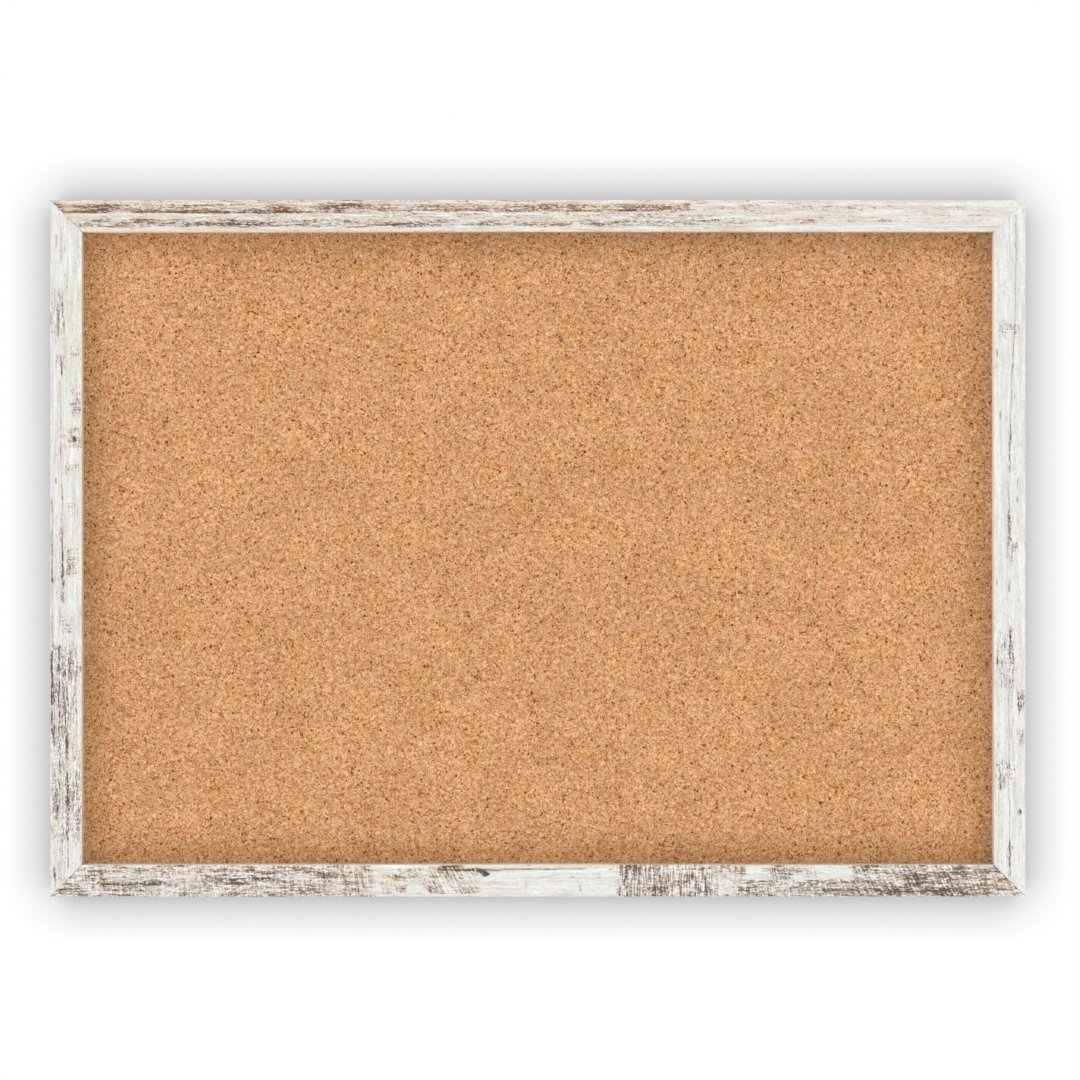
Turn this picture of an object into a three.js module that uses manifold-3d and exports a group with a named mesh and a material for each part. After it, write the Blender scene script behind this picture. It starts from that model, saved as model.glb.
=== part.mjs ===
// Framed cork pin board that hangs on a wall, 28 by 20 inches overall. All sizes are in millimetres.
// X runs to the right as the board is seen from the front, Z runs up, and Y runs from the viewer to the wall.
// The origin is the middle of the board on the wall plane, so every piece lies at Y below 0.
import * as THREE from "three";
import { mergeVertices } from "three/addons/utils/BufferGeometryUtils.js";
import Module from "manifold-3d";

// Board
const BOARD_WIDTH = 711.2;
const BOARD_HEIGHT = 508;

// Frame moulding: a flat face with eased edges, and a rabbet behind the sight edge that holds the panel
const FACE_WIDTH = 23.2;
const MOULDING_DEPTH = 22;
const RABBET_WIDTH = 5;
const RABBET_DEPTH = 12;
const OUTER_ROUND = 1.6;
const SIGHT_ROUND = 1.2;
const BACK_CHAMFER = 0.6;
const MITRE_GLUE_LINE = 0.2;

// Panel: a cork sheet laminated to a soft fibreboard
const CORK_THICKNESS = 3;
const CORK_GLUE_LINE = 0.1;
const BACKING_THICKNESS = 6;
const PANEL_EDGE_CLEARANCE = 1;

// Clearance of a piece on its seat, and of a driven piece in the wood around it
const SEAT_CLEARANCE = 0.2;
const DRIVEN_CLEARANCE = 0.3;

// Corner nails: folded steel Vs pressed into the back of each mitre, with the fold towards the sight edge
const NAILS_PER_CORNER = 2;
const NAIL_LEG = 4.5;
const NAIL_SHEET = 0.6;
const NAIL_HEIGHT = 10;
const NAIL_EDGE_MARGIN = 3;

// Framer's points: flat steel darts driven into the rabbet wall, with a tab that lies on the panel's back
const RAIL_POINTS = 5;
const STILE_POINTS = 3;
const POINT_SHEET = 0.5;
const POINT_WIDTH = 6;
const POINT_BITE = 6;
const POINT_TIP = 3;
const POINT_TAB = 10;
const POINT_TAB_CORNER = 1.2;
const POINT_END_MARGIN = 60;

// Strap hangers: a steel strap folded round the bar of a D-shaped wire ring, held by one screw
const HANGER_DROP = 110;
const STRAP_SHEET = 0.8;
const STRAP_WIDTH = 10.5;
const STRAP_LEAF_GAP = 0.2;
const STRAP_NECK_RADIUS = 1.5;
const STRAP_TAIL_MARGIN = 2;
const STRAP_TAIL_CORNER = 4;
const RING_WIRE = 2.2;
const RING_RUNNING_GAP = 0.3;
const RING_SIDE_GAP = 0.3;
const RING_CORNER = 2;
const RING_SIDE = 2;
const RING_BUTT_GAP = 0.4;
const RING_TO_SCREW_GAP = 0.6;
const SCREW_HEAD_DIAMETER = 6.6;
const SCREW_HEAD_HEIGHT = 2;
const SCREW_SHANK_DIAMETER = 3;
const SCREW_LENGTH = 12;
const SCREW_TIP = 3;
const SCREW_RECESS_SPAN = 3.6;
const SCREW_RECESS_SLOT = 0.9;
const SCREW_RECESS_DEPTH = 1.1;

// Wall bumpers: stick-on domes at the two lower corners, as high as the hangers
const BUMPER_DIAMETER = 11;
const BUMPER_RIM = 1.4;
const BUMPER_FLAT_DIAMETER = 5;
const BUMPER_INSET = 42;

// Facets
const ROUND_SEGMENTS = 8;
const WIRE_SIDES = 16;
const RING_STEPS = 64;
const FOLD_STEP = Math.PI / 12;
const TURNED_SIDES = 28;
const DOME_SEGMENTS = 6;

// Levels and places that follow from the sizes above
const backLand = FACE_WIDTH - RABBET_WIDTH;
const loopRadius = RING_WIRE / 2 + RING_RUNNING_GAP + STRAP_SHEET;
const standOff = SEAT_CLEARANCE + 2 * loopRadius;
const frameBackY = -standOff;
const hangerY = frameBackY + SEAT_CLEARANCE;
const shelfY = frameBackY - RABBET_DEPTH;
const corkFrontY = shelfY + SEAT_CLEARANCE;
const corkBackY = corkFrontY + CORK_THICKNESS;
const backingFrontY = corkBackY + CORK_GLUE_LINE;
const backingBackY = backingFrontY + BACKING_THICKNESS;
const pointFrontY = backingBackY + SEAT_CLEARANCE;
const panelWidth = BOARD_WIDTH - 2 * (backLand + PANEL_EDGE_CLEARANCE);
const panelHeight = BOARD_HEIGHT - 2 * (backLand + PANEL_EDGE_CLEARANCE);

const ringBarHalf = STRAP_WIDTH / 2 + RING_SIDE_GAP;
const ringHalfWidth = ringBarHalf + RING_CORNER;
const ringReach = RING_CORNER + RING_SIDE + ringHalfWidth + RING_WIRE / 2;
const screwDrop = ringReach + RING_TO_SCREW_GAP + SCREW_HEAD_DIAMETER / 2;
const strapTail = screwDrop + SCREW_HEAD_DIAMETER / 2 + STRAP_TAIL_MARGIN;
const strapTop = 2 * STRAP_SHEET + STRAP_LEAF_GAP;
const screwSeat = strapTop + SEAT_CLEARANCE;
const hangerX = BOARD_WIDTH / 2 - backLand / 2;
const hangerZ = BOARD_HEIGHT / 2 - HANGER_DROP;
const screwZ = hangerZ - screwDrop;

// Materials
const paintedWood = new THREE.MeshStandardMaterial({ color: 0xe9e6df, roughness: 0.7, metalness: 0 });
const cork = new THREE.MeshStandardMaterial({ color: 0xd39d6d, roughness: 0.95, metalness: 0 });
const fibreboard = new THREE.MeshStandardMaterial({ color: 0xa98a68, roughness: 0.95, metalness: 0 });
const zincSteel = new THREE.MeshStandardMaterial({ color: 0xb9babb, roughness: 0.4, metalness: 0.9 });
const darkSteel = new THREE.MeshStandardMaterial({ color: 0x8a8b8d, roughness: 0.5, metalness: 0.9 });
const softRubber = new THREE.MeshStandardMaterial({ color: 0xd9d9d4, roughness: 0.6, metalness: 0 });

const wasm = await Module();
wasm.setup();

// A closed geometry as a solid that can be cut.
function toSolid(geometry) {
  const bare = new THREE.BufferGeometry();
  const source = geometry.index ? geometry.toNonIndexed() : geometry;
  bare.setAttribute("position", source.getAttribute("position"));
  const merged = mergeVertices(bare, 1e-3);
  return new wasm.Manifold(
    new wasm.Mesh({
      numProp: 3,
      vertProperties: new Float32Array(merged.attributes.position.array),
      triVerts: new Uint32Array(merged.index.array),
    }),
  );
}

// A solid back as a flat-shaded geometry.
function toGeometry(solid) {
  const made = solid.getMesh();
  const indexed = new THREE.BufferGeometry();
  indexed.setAttribute("position", new THREE.BufferAttribute(made.vertProperties, made.numProp));
  indexed.setIndex(new THREE.BufferAttribute(made.triVerts, 1));
  const flat = indexed.toNonIndexed();
  flat.computeVertexNormals();
  return flat;
}

// The body less each of the cutters.
function cut(geometry, cutters) {
  const cutSolid = cutters.reduce((left, cutter) => left.subtract(toSolid(cutter)), toSolid(geometry));
  return toGeometry(cutSolid);
}

// A plan drawn in X and Z, made thick from its Y level towards the viewer.
function plateFromPlan(shape, thickness) {
  const made = new THREE.ExtrudeGeometry(shape, {
    depth: thickness,
    bevelEnabled: false,
    curveSegments: ROUND_SEGMENTS / 2,
  });
  return made.rotateX(Math.PI / 2);
}

// A section drawn in Z and Y, made wide along X about the middle.
function barFromSection(shape, width) {
  const made = new THREE.ExtrudeGeometry(shape, { depth: width, bevelEnabled: false });
  const toPlace = new THREE.Matrix4().makeBasis(
    new THREE.Vector3(0, 0, 1),
    new THREE.Vector3(0, 1, 0),
    new THREE.Vector3(-1, 0, 0),
  );
  return made.applyMatrix4(toPlace).translate(width / 2, 0, 0);
}

// A profile of (radius, height) pairs turned about Y.
function turned(profile) {
  return new THREE.LatheGeometry(
    profile.map(([radius, height]) => new THREE.Vector2(radius, height)),
    TURNED_SIDES,
  );
}

// A rectangle in a plan, by its two corners.
function rectangle(x0, z0, x1, z1) {
  return new THREE.Shape([
    new THREE.Vector2(x0, z0),
    new THREE.Vector2(x1, z0),
    new THREE.Vector2(x1, z1),
    new THREE.Vector2(x0, z1),
  ]);
}

// The outline of a bent sheet, from the line along its middle and its thickness.
function sheetOutline(line, thickness) {
  const offsetAt = (index, side) => {
    const here = line[index];
    const before = line[Math.max(index - 1, 0)];
    const after = line[Math.min(index + 1, line.length - 1)];
    const arriving = new THREE.Vector2().subVectors(here, before).normalize();
    const leaving = new THREE.Vector2().subVectors(after, here).normalize();
    const along = new THREE.Vector2().addVectors(arriving, leaving).normalize();
    const across = new THREE.Vector2(-along.y, along.x);
    const straight = index > 0 ? arriving : leaving;
    const widening = 1 / Math.abs(along.dot(straight));
    return here.clone().addScaledVector(across, (side * widening * thickness) / 2);
  };
  const rightSide = line.map((_, index) => offsetAt(index, -1));
  const leftSide = line.map((_, index) => offsetAt(index, 1)).reverse();
  return new THREE.Shape([...rightSide, ...leftSide]);
}

// Points on an arc, both ends included.
function arcPoints(centreX, centreY, radius, startAngle, endAngle) {
  const count = Math.max(1, Math.ceil(Math.abs(endAngle - startAngle) / FOLD_STEP));
  return Array.from({ length: count + 1 }, (_, index) => {
    const angle = startAngle + ((endAngle - startAngle) * index) / count;
    return new THREE.Vector2(centreX + radius * Math.cos(angle), centreY + radius * Math.sin(angle));
  });
}

// Even places from -reach to reach.
function spread(count, reach) {
  return Array.from({ length: count }, (_, index) => (count === 1 ? 0 : reach * ((2 * index) / (count - 1) - 1)));
}

function addPiece(parent, name, geometry, material, x = 0, y = 0, z = 0) {
  const piece = new THREE.Mesh(geometry, material);
  piece.name = name;
  piece.position.set(x, y, z);
  parent.add(piece);
  return piece;
}

// The moulding's section: across from the outer edge to the sight edge, and up from the back to the face.
function mouldingSection() {
  const section = new THREE.Shape();
  section.moveTo(BACK_CHAMFER, 0);
  section.lineTo(backLand, 0);
  section.lineTo(backLand, RABBET_DEPTH);
  section.lineTo(FACE_WIDTH, RABBET_DEPTH);
  section.lineTo(FACE_WIDTH, MOULDING_DEPTH - SIGHT_ROUND);
  section.absarc(FACE_WIDTH - SIGHT_ROUND, MOULDING_DEPTH - SIGHT_ROUND, SIGHT_ROUND, 0, Math.PI / 2, false);
  section.lineTo(OUTER_ROUND, MOULDING_DEPTH);
  section.absarc(OUTER_ROUND, MOULDING_DEPTH - OUTER_ROUND, OUTER_ROUND, Math.PI / 2, Math.PI, false);
  section.lineTo(0, BACK_CHAMFER);
  section.closePath();
  return section;
}

// A moulding as it lies along the top: its ends are mitred by drawing each line of the section
// in from the end as far as that line lies in from the outer edge.
function mouldingBlank(halfLength, outerZ) {
  const blank = new THREE.ExtrudeGeometry(mouldingSection(), {
    depth: 1,
    bevelEnabled: false,
    curveSegments: ROUND_SEGMENTS / 2,
  });
  const endCut = (MITRE_GLUE_LINE / 2) * Math.SQRT2;
  const places = blank.getAttribute("position");
  for (let index = 0; index < places.count; index += 1) {
    const inward = places.getX(index);
    const end = places.getZ(index) === 0 ? 1 : -1;
    const x = end * (halfLength - inward - endCut);
    places.setXYZ(index, x, frameBackY - places.getY(index), outerZ - inward);
  }
  return blank;
}

// Where the corner nails' folds lie, measured in from the outer edge along both mouldings.
function nailFolds() {
  const outermost = NAIL_LEG + NAIL_EDGE_MARGIN;
  const innermost = backLand - NAIL_EDGE_MARGIN;
  const middle = (outermost + innermost) / 2;
  return spread(NAILS_PER_CORNER, (innermost - outermost) / 2).map((offset) => middle + offset);
}

// A corner nail or, with a clearance, its slot. Its fold is at the origin and one leg lies in each moulding.
function nail(end, clearance) {
  const leg = NAIL_LEG + clearance;
  const line = [new THREE.Vector2(0, leg), new THREE.Vector2(0, 0), new THREE.Vector2(end * leg, 0)];
  if (end < 0) line.reverse();
  return plateFromPlan(sheetOutline(line, NAIL_SHEET + 2 * clearance), NAIL_HEIGHT + 2 * clearance);
}

// A framer's point: its tip is in the wood, at Z above 0, and its tab lies over the panel.
function framersPoint() {
  const half = POINT_WIDTH / 2;
  const plan = new THREE.Shape();
  plan.moveTo(-half, -POINT_TAB + POINT_TAB_CORNER);
  plan.lineTo(-half + POINT_TAB_CORNER, -POINT_TAB);
  plan.lineTo(half - POINT_TAB_CORNER, -POINT_TAB);
  plan.lineTo(half, -POINT_TAB + POINT_TAB_CORNER);
  plan.lineTo(half, POINT_BITE - POINT_TIP);
  plan.lineTo(0, POINT_BITE);
  plan.lineTo(-half, POINT_BITE - POINT_TIP);
  plan.closePath();
  return plateFromPlan(plan, POINT_SHEET);
}

// The slot in the rabbet wall for a framer's point.
function pointSlot() {
  const half = POINT_WIDTH / 2 + DRIVEN_CLEARANCE;
  const plan = rectangle(-half, -RABBET_WIDTH / 2, half, POINT_BITE + DRIVEN_CLEARANCE);
  return plateFromPlan(plan, POINT_SHEET + 2 * DRIVEN_CLEARANCE);
}

// The hole that a hanger's screw is driven into.
function screwHole() {
  const radius = SCREW_SHANK_DIAMETER / 2 + DRIVEN_CLEARANCE;
  const depth = SCREW_LENGTH + DRIVEN_CLEARANCE;
  const hole = new THREE.CylinderGeometry(radius, radius, 2 * depth, TURNED_SIDES);
  return hole.translate(0, hangerY + screwSeat, 0);
}

// One side of the frame with its fasteners, made as the top rail and turned into place.
function frameSide({ name, place, corner, turn, halfLength, outerZ, points, screwXs }) {
  const side = new THREE.Group();
  side.rotation.y = turn;
  const wallZ = outerZ - backLand;
  const pointXs = spread(points, halfLength - FACE_WIDTH - POINT_END_MARGIN);
  const slotBackY = pointFrontY + POINT_SHEET + DRIVEN_CLEARANCE;
  const pointSlots = pointXs.map((x) => pointSlot().translate(x, slotBackY, wallZ));
  const nailSlots = [1, -1].flatMap((end) =>
    nailFolds().map((fold) =>
      nail(end, DRIVEN_CLEARANCE).translate(end * (halfLength - fold), frameBackY + DRIVEN_CLEARANCE, outerZ - fold),
    ),
  );
  const screwHoles = screwXs.map((x) => screwHole().translate(x, 0, outerZ - backLand / 2));
  const moulding = cut(mouldingBlank(halfLength, outerZ), [...pointSlots, ...nailSlots, ...screwHoles]);
  addPiece(side, name, moulding, paintedWood);
  pointXs.forEach((x, index) =>
    addPiece(
      side,
      `framers_point_${place}_${index + 1}`,
      framersPoint(),
      darkSteel,
      x,
      pointFrontY + POINT_SHEET,
      wallZ,
    ),
  );
  nailFolds().forEach((fold, index) =>
    addPiece(
      side,
      `corner_nail_${corner}_${index + 1}`,
      nail(1, 0),
      darkSteel,
      halfLength - fold,
      frameBackY,
      outerZ - fold,
    ),
  );
  return side;
}

// The line along the middle of the strap's sheet, in Z and Y from the ring's bar: up the lower leaf, round the
// bar, and through the neck's reverse bend to the upper leaf, which is pressed down on the lower one.
function strapLine() {
  const bend = loopRadius - STRAP_SHEET / 2;
  const lowerLeaf = STRAP_SHEET / 2;
  const upperLeaf = strapTop - STRAP_SHEET / 2;
  const neckRise = upperLeaf + STRAP_NECK_RADIUS - loopRadius;
  const neckRun = Math.sqrt((bend + STRAP_NECK_RADIUS) ** 2 - neckRise ** 2);
  const leaving = Math.atan2(neckRise, -neckRun);
  return [
    new THREE.Vector2(-strapTail, lowerLeaf),
    ...arcPoints(0, loopRadius, bend, -Math.PI / 2, leaving),
    ...arcPoints(-neckRun, loopRadius + neckRise, STRAP_NECK_RADIUS, leaving - Math.PI, -Math.PI / 2).slice(1),
    new THREE.Vector2(-strapTail, upperLeaf),
  ];
}

// The strap seen from the back: square at the loop and rounded at the tail.
function strapPlan() {
  const half = STRAP_WIDTH / 2;
  const plan = new THREE.Shape();
  const tailCentre = -strapTail + STRAP_TAIL_CORNER;
  plan.moveTo(half, 2 * loopRadius);
  plan.lineTo(-half, 2 * loopRadius);
  plan.lineTo(-half, tailCentre);
  plan.absarc(-half + STRAP_TAIL_CORNER, tailCentre, STRAP_TAIL_CORNER, Math.PI, 1.5 * Math.PI, false);
  plan.absarc(half - STRAP_TAIL_CORNER, tailCentre, STRAP_TAIL_CORNER, -Math.PI / 2, 0, false);
  plan.closePath();
  return plan;
}

function hangerStrap() {
  const folded = toSolid(barFromSection(sheetOutline(strapLine(), STRAP_SHEET), STRAP_WIDTH));
  const trim = toSolid(plateFromPlan(strapPlan(), 2 * standOff).translate(0, standOff + loopRadius, 0));
  const holeRadius = SCREW_SHANK_DIAMETER / 2 + DRIVEN_CLEARANCE;
  const hole = new THREE.CylinderGeometry(holeRadius, holeRadius, 2 * standOff, TURNED_SIDES);
  return toGeometry(folded.intersect(trim).subtract(toSolid(hole.translate(0, 0, -screwDrop))));
}

// The line along the middle of the ring's wire, from one side of its butt gap round to the other.
class RingLine extends THREE.Curve {
  constructor() {
    super();
    const sideTop = RING_CORNER + RING_SIDE;
    this.plan = new THREE.Path();
    this.plan.moveTo(RING_BUTT_GAP / 2, 0);
    this.plan.lineTo(ringBarHalf, 0);
    this.plan.absarc(ringBarHalf, RING_CORNER, RING_CORNER, -Math.PI / 2, 0, false);
    this.plan.lineTo(ringHalfWidth, sideTop);
    this.plan.absarc(0, sideTop, ringHalfWidth, 0, Math.PI, false);
    this.plan.lineTo(-ringHalfWidth, RING_CORNER);
    this.plan.absarc(-ringBarHalf, RING_CORNER, RING_CORNER, Math.PI, 1.5 * Math.PI, false);
    this.plan.lineTo(-RING_BUTT_GAP / 2, 0);
  }

  getPoint(share, target = new THREE.Vector3()) {
    const { x, y } = this.plan.getPoint(share);
    return target.set(x, 0, y);
  }
}

function hangerRing() {
  const wire = new THREE.Shape().absarc(0, 0, RING_WIRE / 2, 0, 2 * Math.PI, false);
  return new THREE.ExtrudeGeometry(wire, {
    steps: RING_STEPS,
    extrudePath: new RingLine(),
    curveSegments: WIRE_SIDES / 2,
  });
}

// A round-headed screw with a cross recess, from its tip at Y below 0 to the crown of its head.
function hangerScrew() {
  const shank = SCREW_SHANK_DIAMETER / 2;
  const rim = SCREW_HEAD_DIAMETER / 2;
  const dome = Array.from({ length: DOME_SEGMENTS }, (_, index) => {
    const angle = (index / DOME_SEGMENTS) * (Math.PI / 2);
    return [rim * Math.cos(angle), SCREW_HEAD_HEIGHT * Math.sin(angle)];
  });
  const blank = turned([
    [0, -SCREW_LENGTH],
    [shank, -SCREW_LENGTH + SCREW_TIP],
    [shank, 0],
    ...dome,
    [0, SCREW_HEAD_HEIGHT],
  ]);
  const slot = (spanX, spanZ) =>
    new THREE.BoxGeometry(spanX, 2 * SCREW_RECESS_DEPTH, spanZ).translate(0, SCREW_HEAD_HEIGHT, 0);
  return cut(blank, [
    slot(SCREW_RECESS_SPAN, SCREW_RECESS_SLOT),
    slot(SCREW_RECESS_SLOT, SCREW_RECESS_SPAN),
  ]);
}

function hanger(place, x) {
  const group = new THREE.Group();
  group.position.set(x, hangerY, hangerZ);
  addPiece(group, `hanger_strap_${place}`, hangerStrap(), zincSteel);
  addPiece(group, `hanger_ring_${place}`, hangerRing(), zincSteel, 0, loopRadius, 0);
  addPiece(group, `hanger_screw_${place}`, hangerScrew(), zincSteel, 0, screwSeat, -screwDrop);
  return group;
}

// A bumper from its sticky base at Y 0 to the flat that meets the wall.
function bumper() {
  const rim = BUMPER_DIAMETER / 2;
  const flat = BUMPER_FLAT_DIAMETER / 2;
  const height = standOff - SEAT_CLEARANCE;
  const dome = Array.from({ length: DOME_SEGMENTS + 1 }, (_, index) => {
    const angle = (index / DOME_SEGMENTS) * (Math.PI / 2);
    return [flat + (rim - flat) * Math.cos(angle), BUMPER_RIM + (height - BUMPER_RIM) * Math.sin(angle)];
  });
  return turned([[0, 0], [rim, 0], ...dome, [0, height]]);
}

const board = new THREE.Group();

const rail = { halfLength: BOARD_WIDTH / 2, outerZ: BOARD_HEIGHT / 2, points: RAIL_POINTS, screwXs: [] };
const stile = { halfLength: BOARD_HEIGHT / 2, outerZ: BOARD_WIDTH / 2, points: STILE_POINTS };
board.add(
  frameSide({ ...rail, name: "top_rail", place: "top", corner: "top_right", turn: 0 }),
  frameSide({
    ...stile,
    name: "right_stile",
    place: "right",
    corner: "bottom_right",
    turn: Math.PI / 2,
    screwXs: [-screwZ],
  }),
  frameSide({ ...rail, name: "bottom_rail", place: "bottom", corner: "bottom_left", turn: Math.PI }),
  frameSide({
    ...stile,
    name: "left_stile",
    place: "left",
    corner: "top_left",
    turn: -Math.PI / 2,
    screwXs: [screwZ],
  }),
);

const panelPlan = rectangle(-panelWidth / 2, -panelHeight / 2, panelWidth / 2, panelHeight / 2);
addPiece(board, "cork_sheet", plateFromPlan(panelPlan, CORK_THICKNESS), cork, 0, corkBackY, 0);
addPiece(board, "backing_board", plateFromPlan(panelPlan, BACKING_THICKNESS), fibreboard, 0, backingBackY, 0);

board.add(hanger("left", -hangerX), hanger("right", hangerX));

const bumperX = BOARD_WIDTH / 2 - BUMPER_INSET;
const bumperZ = -BOARD_HEIGHT / 2 + backLand / 2;
addPiece(board, "bumper_left", bumper(), softRubber, -bumperX, frameBackY + SEAT_CLEARANCE, bumperZ);
addPiece(board, "bumper_right", bumper(), softRubber, bumperX, frameBackY + SEAT_CLEARANCE, bumperZ);

export default board;
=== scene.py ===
"""Looks of a framed cork board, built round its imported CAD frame. Metres, +Z up, and the front faces -Y."""
import math

import bmesh
import bpy
import numpy as np
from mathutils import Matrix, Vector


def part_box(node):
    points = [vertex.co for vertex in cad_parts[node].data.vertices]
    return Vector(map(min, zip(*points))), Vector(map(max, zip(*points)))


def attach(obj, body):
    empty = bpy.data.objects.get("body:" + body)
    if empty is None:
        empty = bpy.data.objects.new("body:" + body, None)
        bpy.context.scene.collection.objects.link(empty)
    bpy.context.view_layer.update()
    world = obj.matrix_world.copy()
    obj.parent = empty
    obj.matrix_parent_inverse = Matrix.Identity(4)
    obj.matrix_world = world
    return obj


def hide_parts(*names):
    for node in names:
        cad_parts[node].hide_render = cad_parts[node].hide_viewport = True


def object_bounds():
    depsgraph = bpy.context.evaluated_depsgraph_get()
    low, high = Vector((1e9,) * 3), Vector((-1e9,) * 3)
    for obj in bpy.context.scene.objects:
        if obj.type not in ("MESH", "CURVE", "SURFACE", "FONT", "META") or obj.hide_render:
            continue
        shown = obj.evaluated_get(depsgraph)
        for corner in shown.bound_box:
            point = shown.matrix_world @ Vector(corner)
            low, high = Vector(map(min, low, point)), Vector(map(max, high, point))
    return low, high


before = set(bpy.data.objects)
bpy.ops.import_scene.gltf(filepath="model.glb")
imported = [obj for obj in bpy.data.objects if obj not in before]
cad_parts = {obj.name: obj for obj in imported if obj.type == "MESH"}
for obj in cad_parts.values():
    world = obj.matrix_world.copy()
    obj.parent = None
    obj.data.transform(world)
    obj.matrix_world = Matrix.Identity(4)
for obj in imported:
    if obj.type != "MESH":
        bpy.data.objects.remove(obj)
cad_low, cad_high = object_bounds()
scene = bpy.context.scene
scene.view_settings.view_transform = "Standard"

MM = 0.001

# Frame moulding, as in the CAD
rail_low, rail_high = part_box("top_rail")
HALF_WIDTH = cad_high.x
HALF_HEIGHT = cad_high.z
FRONT_Y = rail_low.y
BACK_Y = rail_high.y
FACE = rail_high.z - rail_low.z
DEPTH = BACK_Y - FRONT_Y
RABBET_WIDTH = 5 * MM
RABBET_DEPTH = 12 * MM
BACK_LAND = FACE - RABBET_WIDTH
OUTER_ROUND = 1.6 * MM
SIGHT_ROUND = 1.2 * MM
BACK_CHAMFER = 0.6 * MM

# D ring, as in the CAD
RING_WIRE = 2.2 * MM
RING_BAR_HALF = 5.55 * MM
RING_CORNER = 2 * MM
RING_SIDE = 2 * MM
RING_BUTT_GAP = 0.4 * MM

# Mesh steps along a moulding, across its face, on the cork and on the backing; points of round pieces
STATION_PITCH = 1.5 * MM
FACE_PITCH = 0.45 * MM
CORK_PITCH = 1.9 * MM
BACKING_PITCH = 4 * MM
WIRE_SIDES = 20
RING_CORNER_POINTS = 9
RING_ROUND_POINTS = 49
BUMPER_SIDES = 56

# Open line at a moulding's end, and how far corner nails stand out of the wood
MITRE_LINE = 0.05 * MM
NAIL_STANDS_PROUD = 0.12 * MM

# Eased edges of steel pieces: their widths, the angles that are flat and sharp, and the gap that is none
DRIVEN_EDGE = 0.08 * MM
HANGER_EDGE = 0.10 * MM
FLAT_ANGLE = math.radians(1)
SHARP_ANGLE = math.radians(38)
SAME_POINT = 0.001 * MM

# Wear in a moulding's mesh, in millimetres
CRACK_DEPTH = 0.34
PAINT_DEPTH = 0.07
DIP_DEPTH = 0.10
DEEPEST = 0.5
OUTER_DENT = 0.42
SIGHT_DENT = 0.26

# Soft sides of cracks: a line's in its half widths, and a mitre line's in millimetres
LINE_SOFTNESS = 1.5
MITRE_SOFTNESS = 0.8

# Reach of the painted shade on the cork along the frame
EDGE_SHADE = 11 * MM

# Photograph: its scale on the board's face, and its middle's place right of and above the board's middle
PICTURE_SIZE = 1080
PIXEL = 0.7287 * MM
AIM_X = 2.2 * PIXEL
AIM_Z = 8.25 * PIXEL
LENS = 100
SENSOR = 36
CAMERA_DISTANCE = PICTURE_SIZE * PIXEL * LENS / SENSOR

# A smudge on the cork, in the photograph's pixels: middle across, middle down, half width, half height;
# then its strength and its colour
CORK_SMUDGES = (
    (561.3, 339.0, 2.8, 6.0, 0.80, (162, 126, 100)),
    (561.2, 340.6, 2.8, 2.0, 0.85, (122, 82, 56)),
    (559.6, 336.6, 1.4, 1.4, 0.80, (112, 68, 34)),
)


# Soft steps and noise on numpy arrays


def rise(value, low, high):
    """0 below low, 1 above high and smooth between them."""
    share = np.clip((value - low) / (high - low), 0, 1)
    return share * share * (3 - 2 * share)


def within(value, start, end, outer, inner):
    """1 between start and end, with each end faded from inner inside it to outer outside it."""
    return rise(value, start - outer, start + inner) * (1 - rise(value, end - inner, end + outer))


def lattice(column, row, seed):
    """A repeatable value from 0 to 1 at each whole-number place."""
    column, row = column.astype(np.int64), row.astype(np.int64)
    bits = (column * 374761393 + row * 668265263 + seed * 2246822519) & 0xFFFFFFFF
    bits = ((bits ^ (bits >> 13)) * 1274126177) & 0xFFFFFFFF
    bits = ((bits ^ (bits >> 15)) * 2654435761) & 0xFFFFFFFF
    return ((bits ^ (bits >> 16)) & 0xFFFFF) / 0xFFFFF


def noise(x, y, seed):
    """Smooth value noise from 0 to 1, with features about 1 across."""
    x, y = np.broadcast_arrays(np.asarray(x, float), np.asarray(y, float))
    column, row = np.floor(x), np.floor(y)
    right, up = rise(x, column, column + 1), rise(y, row, row + 1)
    low = lattice(column, row, seed) * (1 - right) + lattice(column + 1, row, seed) * right
    high = lattice(column, row + 1, seed) * (1 - right) + lattice(column + 1, row + 1, seed) * right
    return low * (1 - up) + high * up


def layered(x, y, seed):
    """Noise with two finer layers on it, from 0 to 1."""
    total, weight = 0.0, 0.0
    for octave in range(3):
        scale, share = 2**octave, 0.5**octave
        total = total + share * noise(np.asarray(x) * scale, np.asarray(y) * scale, seed + 17 * octave)
        weight += share
    return total / weight


# Mesh helpers


def new_object(name, points, faces):
    """A closed mesh object with its normals outward."""
    mesh = bpy.data.meshes.new(name)
    mesh.from_pydata([tuple(p) for p in points], [], [tuple(f) for f in faces])
    made = bmesh.new()
    made.from_mesh(mesh)
    bmesh.ops.recalc_face_normals(made, faces=made.faces)
    made.to_mesh(mesh)
    made.free()
    piece = bpy.data.objects.new(name, mesh)
    scene.collection.objects.link(piece)
    return piece


def smooth(piece, angle):
    """Shade smooth, with edges sharper than the angle in degrees kept crisp."""
    mesh = piece.data
    mesh.polygons.foreach_set("use_smooth", np.ones(len(mesh.polygons), bool))
    mesh.set_sharp_from_angle(angle=math.radians(angle))
    mesh.update()


def set_attribute(piece, name, values):
    """One number or one vector for each point."""
    kind, field = ("FLOAT_VECTOR", "vector") if values.ndim == 2 else ("FLOAT", "value")
    attribute = piece.data.attributes.new(name, kind, "POINT")
    attribute.data.foreach_set(field, values.astype(np.float32).ravel())


def place(piece, body, slot, material, *nodes):
    """The piece rides on its body and stands for these CAD nodes."""
    piece.data.materials.clear()
    piece.data.materials.append(material)
    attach(piece, body)
    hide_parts(*nodes)


def grid_points(x, y, z):
    """Points of a grid, row by row."""
    return np.stack(np.broadcast_arrays(x, y, z), axis=-1).reshape(-1, 3)


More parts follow.
